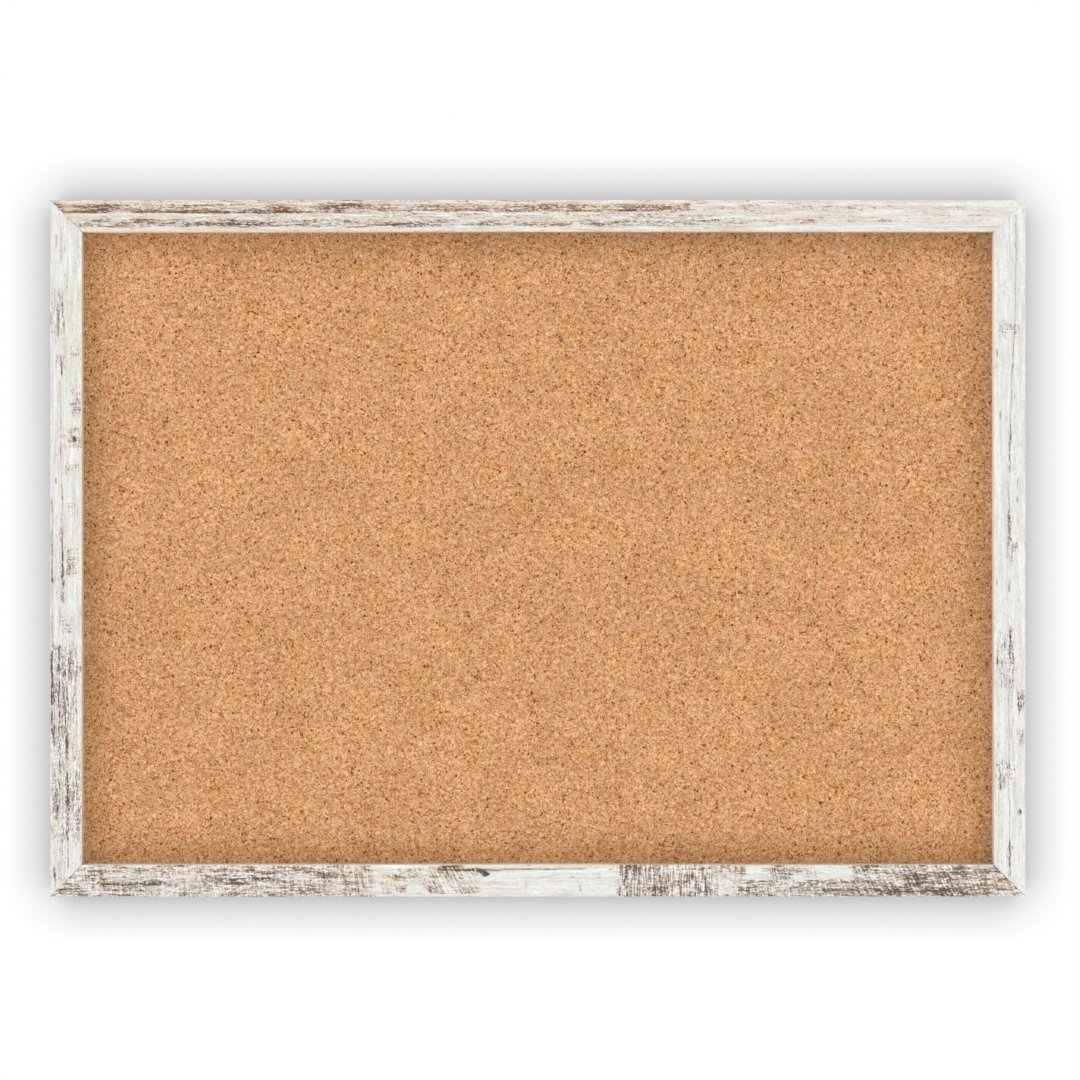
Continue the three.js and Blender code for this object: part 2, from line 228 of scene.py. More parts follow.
def grid_faces(rows, columns, closed):
    """Quads of a grid of points, row by row, with the columns joined into a loop where closed."""
    last = columns if closed else columns - 1
    row, column = np.meshgrid(np.arange(rows - 1), np.arange(last), indexing="ij")
    ahead = (column + 1) % columns
    here, beyond = row * columns, (row + 1) * columns
    quads = [here + column, here + ahead, beyond + ahead, beyond + column]
    return np.stack([q.ravel() for q in quads], axis=1).tolist()


def tube_faces(rows, columns):
    """Faces of a tube made of rings of points, with both its ends closed."""
    faces = grid_faces(rows, columns, closed=True)
    faces.append(list(range(columns)))
    faces.append([(rows - 1) * columns + k for k in range(columns)])
    return faces


# Shader helpers


def srgb(red, green, blue):
    """A picture colour from 0 to 255 as the linear colour that a shader takes."""

    def linear(level):
        level /= 255
        return level / 12.92 if level <= 0.04045 else ((level + 0.055) / 1.055) ** 2.4

    return (linear(red), linear(green), linear(blue), 1.0)


class Shader:
    """A node tree that is written as a few calls."""

    def __init__(self, owner):
        owner.use_nodes = True
        self.tree = owner.node_tree
        self.tree.nodes.clear()

    def add(self, kind, inputs=None, **settings):
        """A node with its settings, and its inputs as values or as links from other nodes."""
        node = self.tree.nodes.new("ShaderNode" + kind)
        for key, value in settings.items():
            setattr(node, key, value)
        for key, value in (inputs or {}).items():
            if isinstance(value, bpy.types.NodeSocket):
                self.tree.links.new(value, node.inputs[key])
            else:
                node.inputs[key].default_value = value
        return node

    def math(self, operation, *values, clamp=False):
        return self.add("Math", dict(enumerate(values)), operation=operation, use_clamp=clamp).outputs[0]

    def both(self, first, second):
        """Two numbers multiplied."""
        return self.math("MULTIPLY", first, second)

    def scaled(self, value, factor, offset=0.0):
        return self.math("MULTIPLY_ADD", value, factor, offset)

    def spread(self, value, factor, middle=0.5, clamp=False):
        """A value about 0.5 spread out by the factor, about a new middle."""
        return self.math("MULTIPLY_ADD", self.math("SUBTRACT", value, 0.5), factor, middle, clamp=clamp)

    def mix(self, share, first, second):
        """Two colours mixed, with a share of the second."""
        return self.add("Mix", {0: share, 6: first, 7: second}, data_type="RGBA").outputs[2]

    def multiply(self, first, second):
        inputs = {0: 1.0, 6: first, 7: second}
        return self.add("Mix", inputs, data_type="RGBA", blend_type="MULTIPLY").outputs[2]

    def blend(self, share, first, second):
        """Two numbers mixed, with a share of the second."""
        return self.add("Mix", {0: share, 2: first, 3: second}, data_type="FLOAT").outputs[0]

    def step(self, value, low, high):
        """0 at low, 1 at high and smooth between them, whichever is greater."""
        inputs = {"Value": value, "From Min": low, "From Max": high}
        return self.add("MapRange", inputs, interpolation_type="SMOOTHSTEP").outputs[0]

    def ramp(self, value, stops):
        node = self.add("ValToRGB", {0: value})
        elements = node.color_ramp.elements
        while len(elements) < len(stops):
            elements.new(0.5)
        for element, (position, colour) in zip(elements, stops):
            element.position = position
            element.color = colour
        return node.outputs[0]

    def attribute(self, name, output="Fac"):
        return self.add("Attribute", attribute_name=name, attribute_type="GEOMETRY").outputs[output]

    def object_place(self):
        return self.add("TexCoord").outputs["Object"]

    def vector(self, operation, inputs, output="Vector"):
        return self.add("VectorMath", inputs, operation=operation).outputs[output]

    def stretched(self, vector, scale):
        return self.add("Mapping", {"Vector": vector, "Scale": scale}).outputs[0]

    def noise(self, vector, scale, detail=3.0, roughness=0.55, distortion=0.0):
        inputs = {
            "Vector": self.stretched(vector, scale),
            "Scale": 1.0,
            "Detail": detail,
            "Roughness": roughness,
            "Distortion": distortion,
        }
        return self.add("TexNoise", inputs).outputs[0]

    def voronoi(self, vector, size, feature="F1"):
        return self.add("TexVoronoi", {"Vector": vector, "Scale": 1 / size}, feature=feature).outputs

    def cells(self, vector, size):
        """Cells of a size in metres: distance from the middle in cells, and three random values."""
        outputs = self.voronoi(vector, size)
        return outputs["Distance"], self.add("SeparateColor", {0: outputs["Color"]}).outputs

    def bump(self, height, strength, distance):
        return self.add("Bump", {"Height": height, "Strength": strength, "Distance": distance}).outputs[0]

    def surface(self, **inputs):
        """The principled surface, with its inputs by name: underscores stand for spaces."""
        named = {key.replace("_", " "): value for key, value in inputs.items()}
        principled = self.add("BsdfPrincipled", named)
        self.add("OutputMaterial", {0: principled.outputs[0]})


def new_material(name):
    made = bpy.data.materials.new(name)
    return made, Shader(made)


# Materials


def whitewashed_wood():
    """Whitewash worn through to brown or grey wood where the attributes say, and bare pine behind."""
    made, shader = new_material("whitewashed_wood")
    grain = shader.attribute("grain", "Vector")
    names = ("stain", "saw", "tone", "crack", "bare", "warm", "lip")
    stain, saw, tone, crack, bare, warm, lip = [shader.attribute(name) for name in names]

    # Flecks along the grain and saw marks across it show the wood where they pass a limit, which stain and
    # cracks lower
    streaks = shader.noise(grain, (55, 780, 300), detail=4.0, roughness=0.6, distortion=0.4)
    dashes = shader.noise(grain, (260, 900, 300), roughness=0.62, distortion=0.6)
    grit = shader.noise(grain, (700, 1100, 300), detail=2.0, roughness=0.6, distortion=0.5)
    saw_marks = shader.noise(grain, (920, 85, 300), roughness=0.6, distortion=0.4)
    fleck = shader.blend(0.42, dashes, grit)
    along = shader.blend(0.40, fleck, streaks)
    across = shader.blend(0.48, fleck, saw_marks)
    pattern = shader.spread(shader.blend(saw, along, across), 4.6)
    limit = shader.scaled(crack, -0.72, shader.scaled(stain, -0.64, 1.02))
    over = shader.math("SUBTRACT", pattern, limit)
    tinted = shader.step(over, -0.50, 0.05)
    worn = shader.step(over, -0.09, 0.20)
    deep = shader.step(over, 0.04, 0.46)

    # Whitewash: brush hairs from a cool white to cream, thin round the flecks and grey beside the cracks
    fine = shader.noise(grain, (110, 1700, 900), roughness=0.6)
    brushed = shader.noise(grain, (22, 420, 300), roughness=0.6)
    hairs = shader.blend(0.4, shader.blend(0.58, fine, brushed), dashes)
    brush = shader.spread(hairs, 6.0, clamp=True)
    cool = shader.mix(brush, srgb(219, 220, 213), srgb(250, 252, 248))
    cream = shader.mix(brush, srgb(204, 190, 171), srgb(250, 246, 237))
    drift = shader.scaled(shader.noise(grain, (24, 160, 90)), 3.6, -1.8)
    wash = shader.mix(shader.math("MULTIPLY_ADD", drift, 0.8, warm, clamp=True), cool, cream)
    thin = shader.mix(tone, srgb(223, 200, 176), srgb(210, 201, 193))
    wash = shader.mix(shader.scaled(tinted, 0.82), wash, thin)
    wash = shader.mix(shader.scaled(shader.step(crack, 0.08, 0.75), 0.62), wash, srgb(166, 158, 148))

    # Wood under it, the sight edge wall rubbed to wood and darkened as painted shade, and thick paint left
    # between the flecks
    brown = shader.mix(deep, srgb(193, 161, 131), shader.mix(fine, srgb(70, 46, 28), srgb(146, 112, 83)))
    grey = shader.mix(deep, srgb(168, 161, 153), shader.mix(fine, srgb(46, 42, 38), srgb(106, 100, 92)))
    painted = shader.mix(worn, wash, shader.mix(tone, brown, grey))
    rubbed_and_shaded = shader.mix(shader.step(along, 0.40, 0.60), srgb(104, 85, 69), srgb(194, 178, 158))
    painted = shader.mix(lip, painted, rubbed_and_shaded)
    thick = shader.both(shader.step(pattern, 0.42, 0.20), shader.step(stain, 0.1, 0.5))
    thick = shader.both(thick, shader.blend(tone, 0.35, 1.0))
    painted = shader.mix(thick, painted, srgb(250, 248, 243))

    # Bare pine, with a ragged edge of paint
    rings = shader.noise(grain, (7, 190, 190), detail=4.0, roughness=0.6, distortion=0.6)
    pores = shader.noise(grain, (90, 1400, 1400), detail=2.0)
    pine = shader.ramp(
        rings,
        [
            (0.36, srgb(228, 204, 167)),
            (0.47, srgb(219, 190, 148)),
            (0.55, srgb(196, 160, 116)),
            (0.63, srgb(225, 198, 158)),
        ],
    )
    pine = shader.mix(shader.step(pores, 0.58, 0.70), pine, srgb(172, 136, 97))
    splash = shader.step(shader.math("ADD", bare, shader.scaled(dashes, 0.7, -0.35)), 0.35, 0.65)
    colour = shader.mix(splash, painted, pine)

    roughness = shader.blend(worn, 0.62, 0.82)
    height = shader.math("SUBTRACT", shader.scaled(brush, 0.3), worn)
    normal = shader.bump(height, 0.55, 0.12 * MM)
    shader.surface(Base_Color=colour, Roughness=roughness, Normal=normal, Specular_IOR_Level=0.35)
    return made


def on_cork(across, down):
    """The place on the cork's face that a pixel of the photograph shows."""
    face_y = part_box("cork_sheet")[0].y
    pixel = PIXEL * (CAMERA_DISTANCE + face_y - FRONT_Y) / CAMERA_DISTANCE
    middle = PICTURE_SIZE / 2
    return (AIM_X + (across - middle) * pixel, face_y, AIM_Z + (middle - down) * pixel)


def natural_cork():
    """Pressed cork: granules of several tans, dark bark, pale flecks, drifts of colour and a smudge."""
    made, shader = new_material("natural_cork")
    position = shader.object_place()
    wobble = shader.add("TexNoise", {"Vector": position, "Scale": 420.0, "Detail": 2.0}).outputs["Color"]
    centred = shader.vector("SUBTRACT", {0: wobble, 1: (0.5, 0.5, 0.5)})
    where = shader.vector("ADD", {0: position, 1: shader.vector("SCALE", {0: centred, "Scale": 3.4 * MM})})

    # Granules and crumbs in several tans, with drifts of hue and tone over them
    granule_far, granule = shader.cells(where, 3.0 * MM)
    crumb_far, crumb = shader.cells(where, 1.3 * MM)
    grit = shader.noise(position, (1250, 1250, 1250), roughness=0.65)
    tones = shader.scaled(crumb[0], 0.38, shader.scaled(granule[0], 0.18, 0.24))
    tan = shader.ramp(
        shader.spread(grit, 2.05, middle=tones),
        [
            (0.02, srgb(162, 91, 28)),
            (0.22, srgb(191, 130, 75)),
            (0.42, srgb(215, 157, 106)),
            (0.58, srgb(225, 170, 122)),
            (0.78, srgb(237, 188, 144)),
            (0.98, srgb(247, 207, 167)),
        ],
    )
    pink = shader.step(shader.noise(position, (62, 62, 62), detail=4.0, roughness=0.72), 0.34, 0.66)
    yellow = shader.step(shader.noise(position, (48, 60, 48), detail=4.0, roughness=0.72), 0.34, 0.66)
    slow = shader.step(shader.noise(position, (24, 24, 24), detail=2.0), 0.36, 0.64)
    drifts = (
        (granule[1], (1.015, 0.97, 0.98, 1), (0.985, 1.03, 1.0, 1)),
        (pink, (0.965, 1.0, 1.0, 1), (1.035, 1.0, 1.0, 1)),
        (yellow, (1.0, 1.0, 1.065, 1), (1.0, 1.0, 0.935, 1)),
        (slow, (0.96, 0.96, 0.95, 1), (1.04, 1.04, 1.05, 1)),
    )
    for share, low, high in drifts:
        tan = shader.multiply(tan, shader.mix(share, low, high))

    # Bark in the crevices, dark chips, pale flecks and two sets of long dark crumbs
    crevice = shader.step(shader.voronoi(where, 3.0 * MM, "DISTANCE_TO_EDGE")["Distance"], 0.16, 0.0)
    dirt = shader.noise(position, (640, 640, 640), roughness=0.6, distortion=0.6)
    dark = shader.step(shader.scaled(crevice, 0.11, dirt), 0.60, 0.71)
    bark = shader.mix(granule[2], srgb(138, 74, 14), srgb(170, 107, 46))
    colour = shader.mix(shader.scaled(dark, 0.75), tan, bark)
    speck_far, speck = shader.cells(where, 2.3 * MM)
    chip = shader.both(shader.step(speck[0], 0.91, 0.92), shader.step(speck_far, 0.50, 0.36))
    chip_colour = shader.mix(speck[1], srgb(114, 50, 3), srgb(163, 95, 24))
    colour = shader.mix(shader.scaled(chip, 0.95), colour, chip_colour)
    pale = shader.both(shader.step(speck[0], 0.07, 0.05), shader.step(speck_far, 0.60, 0.40))
    colour = shader.mix(shader.scaled(pale, 0.55), colour, srgb(247, 211, 166))
    dark = shader.math("MAXIMUM", dark, chip)
    for stretch in ((1.0, 1.0, 0.45), (0.45, 1.0, 1.0)):
        dot_far, dots = shader.cells(shader.stretched(where, stretch), 1.0 * MM)
        dot = shader.both(shader.step(dots[0], 0.91, 0.92), shader.step(dot_far, 0.46, 0.30))
        dot_colour = shader.mix(dots[1], srgb(104, 41, 2), srgb(150, 84, 24))
        colour = shader.mix(shader.scaled(dot, 0.9), colour, dot_colour)
        dark = shader.math("MAXIMUM", dark, dot)

    # The smudge, and painted shade darkening the cork along the frame
    for across, down, half_width, half_height, strength, smudge_colour in CORK_SMUDGES:
        away = shader.vector("SUBTRACT", {0: position, 1: on_cork(across, down)})
        sizes = (1 / (half_width * PIXEL), 0, 1 / (half_height * PIXEL))
        far = shader.vector("LENGTH", {0: shader.stretched(away, sizes)}, "Value")
        smudge = shader.scaled(shader.step(far, 1.0, 0.4), strength)
        colour = shader.mix(smudge, colour, srgb(*smudge_colour))
    # Painted shade: the cork's colour darkened near the frame, where the lip's shade falls
    edge = shader.mix(shader.attribute("edge"), (1, 1, 1, 1), (0.84, 0.84, 0.83, 1))
    colour = shader.multiply(colour, edge)

    height = shader.scaled(dark, -0.6, shader.scaled(crumb_far, -0.35, shader.scaled(granule_far, -0.5)))
    normal = shader.bump(height, 0.22, 0.3 * MM)
    roughness = shader.blend(dark, 0.88, 0.95)
    shader.surface(Base_Color=colour, Roughness=roughness, Normal=normal, Specular_IOR_Level=0.05)
    return made


def pressed_fibreboard():
    """Pale brown fibres with the faint print of the wire screen that the board was pressed on."""
    made, shader = new_material("pressed_fibreboard")
    position = shader.object_place()
    fibres = shader.noise(position, (260, 260, 900), detail=5.0, roughness=0.7, distortion=1.6)
    strands = shader.noise(position, (900, 260, 260), detail=4.0, roughness=0.7, distortion=1.6)
    cloud = shader.noise(position, (18, 18, 18))
    bits = shader.noise(position, (330, 330, 330), roughness=0.6, distortion=1.2)
    felt = shader.blend(0.5, fibres, strands)
    base = shader.ramp(
        felt,
        [
            (0.30, srgb(122, 92, 64)),
            (0.46, srgb(158, 125, 91)),
            (0.56, srgb(176, 143, 107)),
            (0.70, srgb(198, 167, 131)),
        ],
    )
    base = shader.mix(shader.scaled(cloud, 0.35), base, srgb(150, 116, 82))
    base = shader.mix(shader.scaled(shader.step(bits, 0.66, 0.72), 0.55), base, srgb(104, 76, 52))
    wave = {"Vector": position, "Scale": 78.0, "Distortion": 0.6}
    screen = [shader.add("TexWave", wave, bands_direction=axis).outputs[1] for axis in ("X", "Z")]
    height = shader.scaled(felt, 0.7, shader.both(*screen))
    normal = shader.bump(height, 0.45, 0.25 * MM)
    shader.surface(Base_Color=base, Roughness=0.92, Normal=normal, Specular_IOR_Level=0.2)
    return made


def plated_steel(name, light, dark, dull, roughness_low, roughness_high):
    """Rolled steel with fine draw lines, spangles, dull scuffs and small dark pits."""
    made, shader = new_material(name)
    position = shader.object_place()
    drawn = shader.noise(position, (2600, 900, 300))
    cloud = shader.step(shader.noise(position, (160, 160, 160)), 0.36, 0.64)
    spangle = shader.cells(position, 1.8 * MM)[1][0]
    scratches = shader.noise(position, (420, 420, 90), detail=4.0, roughness=0.65, distortion=0.8)
    scuff = shader.step(scratches, 0.52, 0.66)
    pit_far, pits = shader.cells(position, 1.1 * MM)
    pit = shader.both(shader.step(pits[0], 0.84, 0.86), shader.step(pit_far, 0.22, 0.10))
    colour = shader.mix(shader.blend(0.35, cloud, spangle), dark, light)
    colour = shader.mix(shader.scaled(scuff, 0.45), colour, dull)
    colour = shader.mix(shader.scaled(pit, 0.5), colour, srgb(84, 80, 76))
    polish = shader.blend(0.5, shader.step(drawn, 0.36, 0.64), cloud)
    roughness = shader.blend(polish, roughness_low, roughness_high)
    normal = shader.bump(shader.math("SUBTRACT", drawn, pit), 0.2, 0.03 * MM)
    shader.surface(Base_Color=colour, Metallic=1.0, Roughness=roughness, Normal=normal)
    return made


def milky_rubber():
    """Soft, slightly clear rubber with a little dust held on it."""
    made, shader = new_material("milky_rubber")
    position = shader.object_place()
    cloud = shader.noise(position, (350, 350, 350))
    dust = shader.noise(position, (2400, 2400, 2400), detail=2.0)
    colour = shader.mix(cloud, srgb(206, 206, 200), srgb(226, 226, 220))
    colour = shader.mix(shader.step(dust, 0.66, 0.74), colour, srgb(168, 164, 154))
    roughness = shader.blend(cloud, 0.32, 0.5)
    normal = shader.bump(dust, 0.15, 0.05 * MM)
    shader.surface(Base_Color=colour, Roughness=roughness, Normal=normal, Coat_Weight=0.15)
    return made


# Marks on the four mouldings, in millimetres. Along a rail they are measured from its left end, and down a
# stile from its top end; across, they are measured from the outer edge.
# Turn: quarter turns clockwise from the top. Warm, ground: creaminess and stain at both ends.
# Tone: 0 brown to 1 grey. Side: stain on the outer side. Joints: how dark the mitre lines at both ends are.
# Lean: place along, slant of the saw marks. Sight: place along, how far the sight edge wall is rubbed and
# darkened as painted shade.
# Patches: start, end, near side, far side, strength, tone, saw marks.
# Lines: start, end, place across at the start and at the end, half width, strength.
# Spots: middle along, middle across, half length, half width, strength.
MARKS = {
    "top_rail": {
        "turn": 0,
        "seed": 3,
        "warm": (0.75, 0.30),
        "ground": (0.26, 0.08),
        "tone": 0.35,
        "side": 0.80,
        "joints": (0.35, 0.10),
        "lean": ((0, -1.3), (400, -1.3), (560, -0.6)),
        "sight": ((0, 0.15), (220, 0.45), (330, 0.85), (711, 0.65)),
        "patches": [
            (0, 560, -4.0, 10.5, 0.36, 0.30, 0.0),
            (12, 560, 13.0, 19.5, 0.36, 0.30, 0.0),
            (0, 190, 2.6, 10.2, 1.00, 0.18, 0.32),
            (184, 470, 2.6, 9.0, 0.98, 0.22, 0.28),
            (462, 590, 3.5, 8.6, 0.52, 0.15, 0.25),
            (6, 30, 3.0, 8.8, 1.15, 0.00, 0.1),
            (18, 300, 13.8, 20.2, 0.88, 0.45, 0.28),
            (292, 480, 14.4, 19.8, 0.76, 0.40, 0.20),
            (474, 560, 13.6, 18.4, 0.54, 0.10, 0.0),
            (30, 360, -1.0, 2.2, 0.66, 0.55, 0.2),
            (30, 236, 10.6, 13.8, 0.44, 0.60, 0.2),
            (236, 490, 9.2, 14.0, 0.56, 0.75, 0.2),
            (560, 690, 11.0, 16.8, 0.42, 0.10, 0.0),
            (580, 670, 4.4, 7.8, 0.40, 0.10, 0.0),
        ],
        "lines": [
            (10, 46, 9.2, 9.0, 0.55, 0.75),
            (60, 235, 9.0, 9.3, 0.60, 0.60),
            (300, 440, 8.2, 7.6, 0.50, 0.25),
            (70, 190, 17.4, 18.2, 0.45, 0.50),
            (230, 420, 18.2, 17.6, 0.45, 0.45),
            (500, 518, 3.5, 11.5, 0.35, 0.45),
            (590, 680, 15.6, 16.4, 0.35, 0.30),
        ],
        "spots": [],
    },
    "bottom_rail": {
        "turn": 2,
        "seed": 5,
        "warm": (0.10, 0.00),
        "ground": (0.05, 0.05),
        "tone": 0.9,
        "side": 0.85,
        "joints": (0.20, 0.42),
        "lean": (
            (0, 0.2),
            (235, 0.1),
            (275, 0.55),
            (320, 0.55),
            (400, 0.0),
            (500, 0.0),
            (590, 0.5),
            (711, 0.4),
        ),
        "sight": ((0, 0.50), (310, 0.50), (340, 0.25), (400, 0.25), (420, 0.65), (711, 0.65)),
        "patches": [
            (0, 120, -3.0, 23.0, 0.84, 0.55, 0.38),
            (118, 212, -3.0, 23.0, 0.86, 0.60, 0.38),
            (206, 236, -1.0, 23.5, 0.86, 0.45, 0.60),
            (240, 260, 2.0, 17.0, 0.80, 0.40, 0.70),
            (254, 274, 11.0, 21.0, 0.78, 0.50, 0.60),
            (272, 314, 2.0, 22.0, 0.70, 0.40, 0.85),
            (413, 486, -5.0, 24.5, 0.82, 0.60, 1.00),
            (482, 508, 0.0, 23.5, 0.74, 0.55, 0.50),
            (498, 530, -1.0, 12.5, 0.96, 0.55, 0.45),
            (522, 542, -1.0, 23.5, 0.84, 0.60, 0.50),
            (536, 690, -3.0, 12.5, 0.92, 0.65, 0.35),
            (580, 672, 0.5, 11.0, 1.02, 0.62, 0.40),
            (536, 562, 14.0, 23.5, 0.60, 0.80, 0.30),
            (584, 672, 9.0, 24.0, 0.92, 0.66, 0.45),
            (662, 708, -1.0, 22.5, 0.78, 0.60, 0.30),
        ],
        "lines": [
            (36, 78, 9.3, 9.2, 0.40, 1.20),
            (8, 40, 9.6, 9.3, 0.35, 0.50),
            (130, 162, 12.6, 12.8, 0.40, 1.00),
            (86, 106, 16.5, 20.5, 0.35, 0.40),
            (282, 330, 19.6, 19.7, 0.45, 1.10),
            (326, 392, 19.9, 20.4, 0.40, 0.95),
            (283, 302, 22.4, 22.3, 0.60, 1.00),
            (346, 372, 12.0, 16.0, 0.35, 0.40),
            (356, 362, 4.5, 9.0, 0.35, 0.45),
            (372, 378, 4.0, 4.6, 0.60, 0.45),
            (394, 404, 16.2, 16.0, 0.35, 0.45),
            (560, 660, 5.2, 4.4, 0.60, 0.45),
            (414, 484, 20.8, 20.6, 0.60, 0.22),
        ],
        "spots": [
            (309.0, 19.3, 4.4, 0.9, 1.40),
            (314.0, 18.5, 5.0, 1.7, 1.50),
            (317.5, 16.7, 3.4, 2.3, 1.50),
            (347.0, 9.0, 1.4, 5.0, 0.38),
            (349.0, 23.0, 2.0, 0.6, 0.80),
            (386.5, 6.0, 0.8, 3.0, 0.55),
            (381.0, 14.5, 1.8, 0.5, 0.50),
            (409.0, 20.0, 1.6, 0.8, 0.65),
        ],
    },
    "left_stile": {
        "turn": 3,
        "seed": 7,
        "warm": (0.05, 0.05),
        "ground": (0.13, 0.13),
        "tone": 1.0,
        "side": 0.75,
        "joints": (0.20, 0.15),
        "lean": ((0, 0.1),),
        "sight": ((0, 0.65),),
        "patches": [
            (62, 100, 0.5, 11.0, 0.46, 0.90, 0.0),
            (112, 130, 4.0, 12.0, 0.52, 0.90, 0.1),
            (108, 116, 15.0, 22.0, 0.66, 0.90, 0.4),
            (134, 160, 14.5, 23.0, 0.54, 1.00, 0.4),
            (165, 183, 9.0, 23.5, 0.64, 0.70, 0.5),
            (192, 200, 11.0, 22.5, 0.66, 0.90, 0.6),
            (218, 230, 12.0, 19.0, 0.56, 0.90, 0.4),
            (238, 296, 7.0, 12.0, 0.62, 0.50, 0.0),
            (252, 277, 12.0, 21.5, 0.66, 0.80, 0.5),
            (304, 318, 9.0, 17.0, 0.62, 0.90, 0.7),
            (322, 402, 0.5, 20.5, 0.70, 0.80, 0.1),
            (400, 470, 1.0, 22.5, 0.64, 0.85, 0.3),
            (470, 500, 0.0, 12.0, 0.46, 0.85, 0.1),
        ],
        "lines": [
            (24, 36, 4.9, 5.1, 0.45, 0.70),
            (12, 48, 8.2, 7.8, 0.35, 0.39),
            (66, 102, 6.0, 6.4, 0.35, 0.50),
            (72, 98, 9.4, 10.2, 0.35, 0.45),
            (54, 66, 11.8, 12.2, 0.45, 0.55),
            (80, 92, 0.3, 0.4, 0.50, 0.62),
            (113, 130, 8.3, 8.5, 0.40, 0.74),
            (129, 208, 7.6, 8.2, 0.35, 0.55),
            (206, 264, 8.9, 9.3, 0.35, 0.70),
            (216, 395, 1.9, 1.6, 0.40, 0.66),
            (242, 296, 9.2, 9.8, 0.55, 0.55),
            (296, 340, 7.2, 7.6, 0.35, 0.51),
            (324, 360, 6.8, 7.0, 0.45, 0.50),
            (352, 392, 6.8, 7.2, 0.45, 0.48),
            (345, 404, 10.2, 11.6, 0.45, 0.54),
            (350, 404, 12.2, 12.8, 0.40, 0.50),
            (358, 400, 3.2, 3.6, 0.40, 0.32),
            (380, 488, 12.6, 13.3, 0.50, 0.66),
            (384, 420, 6.8, 7.4, 0.40, 0.58),
            (440, 454, 5.6, 6.0, 0.50, 0.55),
            (485, 499, 3.3, 4.0, 0.55, 0.86),
        ],
        "spots": [
            (143, 20.0, 4.0, 0.6, 0.80),
            (176, 17.8, 4.0, 1.6, 0.70),
            (205, 4.4, 2.6, 0.9, 0.55),
            (342, 22.4, 2.4, 0.9, 0.70),
            (341, 6.6, 3.0, 1.3, 0.70),
        ],
    },
    "right_stile": {
        "turn": 1,
        "seed": 9,
        "warm": (-0.10, -0.10),
        "ground": (0.05, 0.05),
        "tone": 1.05,
        "side": 0.70,
        "joints": (0.10, 0.25),
        "lean": ((0, 0.1),),
        "sight": ((0, 0.25), (250, 0.30), (340, 0.55), (508, 0.60)),
        "patches": [
            (88, 98, 4.5, 20.0, 0.44, 1.00, 0.7),
            (166, 200, 10.0, 12.8, 0.42, 1.00, 0.1),
            (226, 266, 9.0, 13.5, 0.56, 0.95, 0.1),
            (248, 257, 4.5, 11.0, 0.86, 0.70, 0.5),
            (312, 356, 8.0, 21.5, 0.58, 1.00, 0.2),
            (357, 375, 1.0, 6.6, 0.86, 0.75, 0.4),
            (385, 397, 1.5, 6.4, 0.82, 0.80, 0.4),
            (408, 430, 8.0, 21.0, 0.66, 0.90, 0.2),
            (462, 500, 8.5, 14.0, 0.52, 0.85, 0.1),
        ],
        "lines": [
            (10, 94, 6.8, 7.8, 0.35, 0.55),
            (88, 124, 7.9, 9.2, 0.45, 0.86),
            (118, 182, 9.6, 11.9, 0.42, 0.70),
            (164, 200, 11.9, 11.6, 0.45, 0.52),
            (203, 260, 12.4, 12.3, 0.35, 0.60),
            (276, 287, 11.6, 11.8, 0.50, 1.05),
            (312, 424, 12.0, 12.2, 0.32, 0.46),
            (316, 420, 9.4, 9.7, 0.32, 0.40),
            (424, 494, 12.1, 11.6, 0.36, 0.66),
            (140, 200, 8.4, 8.8, 0.32, 0.35),
        ],
        "spots": [
            (446, 4.4, 2.1, 1.7, 1.00),
            (112, 20.9, 4.0, 0.6, 0.85),
            (120, 21.4, 2.6, 0.5, 0.45),
            (157, 18.5, 4.0, 1.0, 0.60),
            (208, 6.0, 5.0, 0.7, 0.45),
            (218, 6.4, 2.2, 0.9, 0.60),
            (279, 21.0, 3.0, 0.6, 0.70),
            (319, 10.8, 2.0, 1.1, 0.48),
            (336, 20.8, 4.0, 0.7, 0.75),
            (335, 17.6, 3.0, 0.5, 0.50),
            (397, 20.2, 2.2, 0.6, 0.70),
            (412, 20.9, 2.0, 0.8, 0.80),
            (420, 21.2, 2.0, 0.7, 0.60),
            (428, 18.4, 3.0, 0.5, 0.55),
            (472, 12.0, 2.6, 0.9, 0.80),
        ],
    },
}


def moulding_section():
    """The section once round, as points: inward, up from the back, unrolled across, and share of paint."""
    points = []

    def straight(start, end, count, paint):
        """Points from one (inward, up, unrolled) place to just before another."""
        start, end = np.array(start), np.array(end)
        for share in np.arange(count) / count:
            points.append((*(start + (end - start) * share), paint))

    def round_edge(inward, up, radius, first_angle, unrolled, count):
        """Points of a painted quarter round about a middle."""
        for share in np.arange(count) / count:
            angle = first_angle + share * math.pi / 2
            here = (inward + radius * math.cos(angle), up + radius * math.sin(angle))
            points.append((*here, unrolled - radius * share, 1.0))

    sight_top = DEPTH - SIGHT_ROUND
    outer_top = DEPTH - OUTER_ROUND
    sight_start = FACE - SIGHT_ROUND
    land_end = -DEPTH - FACE
    wall_end = land_end - RABBET_DEPTH
    side_end = BACK_CHAMFER - outer_top
    face_count = round((sight_start - OUTER_ROUND) / FACE_PITCH)
    straight((BACK_CHAMFER, 0, -DEPTH - BACK_CHAMFER), (BACK_LAND, 0, -DEPTH - BACK_LAND), 10, 0.0)
    straight((BACK_LAND, 0, land_end), (BACK_LAND, RABBET_DEPTH, wall_end), 5, 0.0)
    straight((BACK_LAND, RABBET_DEPTH, wall_end), (FACE, RABBET_DEPTH, wall_end - RABBET_WIDTH), 3, 0.3)
    straight((FACE, RABBET_DEPTH, FACE + sight_top - RABBET_DEPTH), (FACE, sight_top, FACE), 7, 1.0)
    round_edge(sight_start, sight_top, SIGHT_ROUND, 0, FACE, 5)
    straight((sight_start, DEPTH, sight_start), (OUTER_ROUND, DEPTH, OUTER_ROUND), face_count, 1.0)
    round_edge(OUTER_ROUND, outer_top, OUTER_ROUND, math.pi / 2, OUTER_ROUND, 6)
    straight((0, outer_top, 0), (0, BACK_CHAMFER, side_end), 16, 1.0)
    points.append((0, BACK_CHAMFER, side_end, 0.5))
    return np.array(points)


